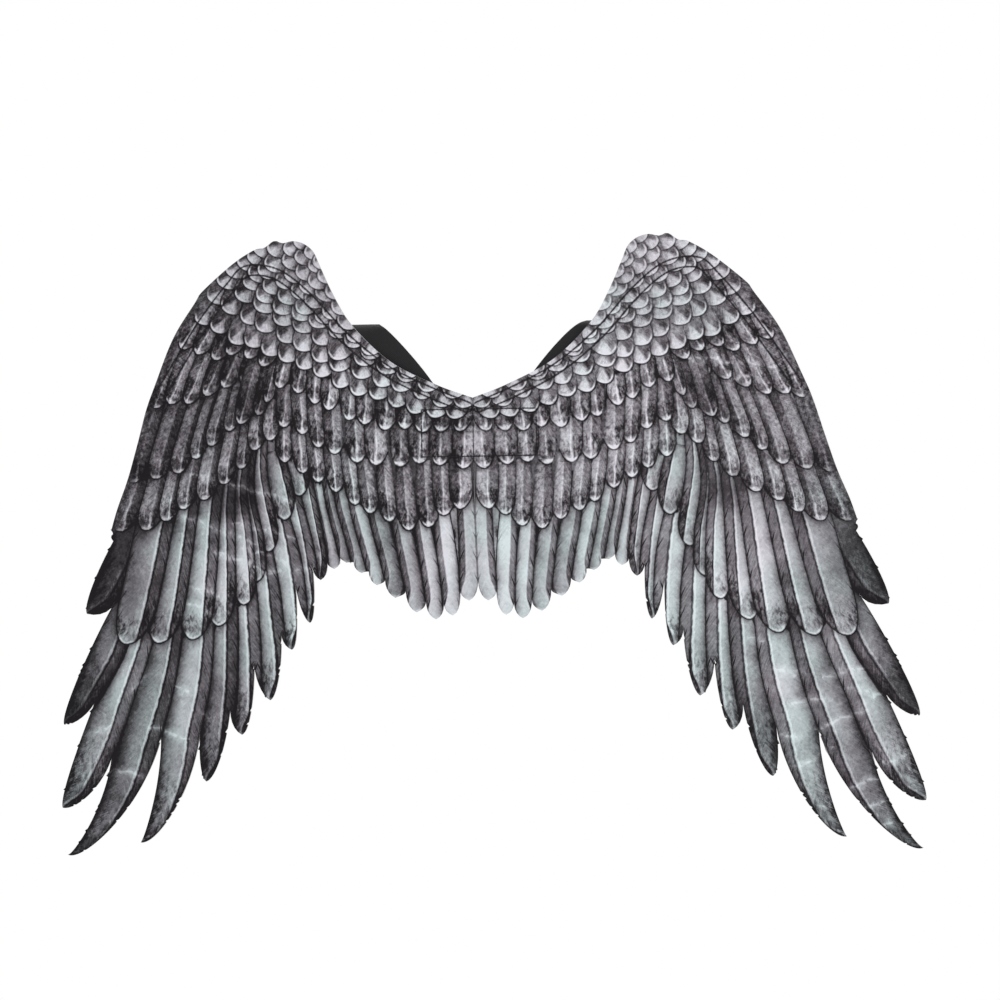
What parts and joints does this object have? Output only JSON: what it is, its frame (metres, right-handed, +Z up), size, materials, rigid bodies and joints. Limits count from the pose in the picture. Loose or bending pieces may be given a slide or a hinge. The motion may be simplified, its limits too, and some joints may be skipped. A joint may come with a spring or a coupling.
{
  "type": "costume wings",
  "caption": "Pair of cloth costume wings with printed feathers and a fringe of feather tips, held on a back patch with two elastic shoulder straps.",
  "frame": {"origin": "middle of the back patch, on the face that lies against the wearer's back", "axes": "+X to the wearer's right, +Y forwards from the wearer's back, +Z up; the printed side faces -Y"},
  "size_m": [0.7526, 0.13, 0.5305],
  "materials": {
    "printed_cloth": "matt felt, printed with grey feathers on its outer side",
    "plain_cloth": "plain matt felt",
    "elastic": "woven black elastic"
  },
  "bodies": {
    "root": {"back_patch": "plain_cloth", "left_wing": "printed_cloth", "right_wing": "printed_cloth", "left_stay_channel": "plain_cloth", "right_stay_channel": "plain_cloth", "left_strap": "elastic", "right_strap": "elastic"}
  },
  "joints": []
}
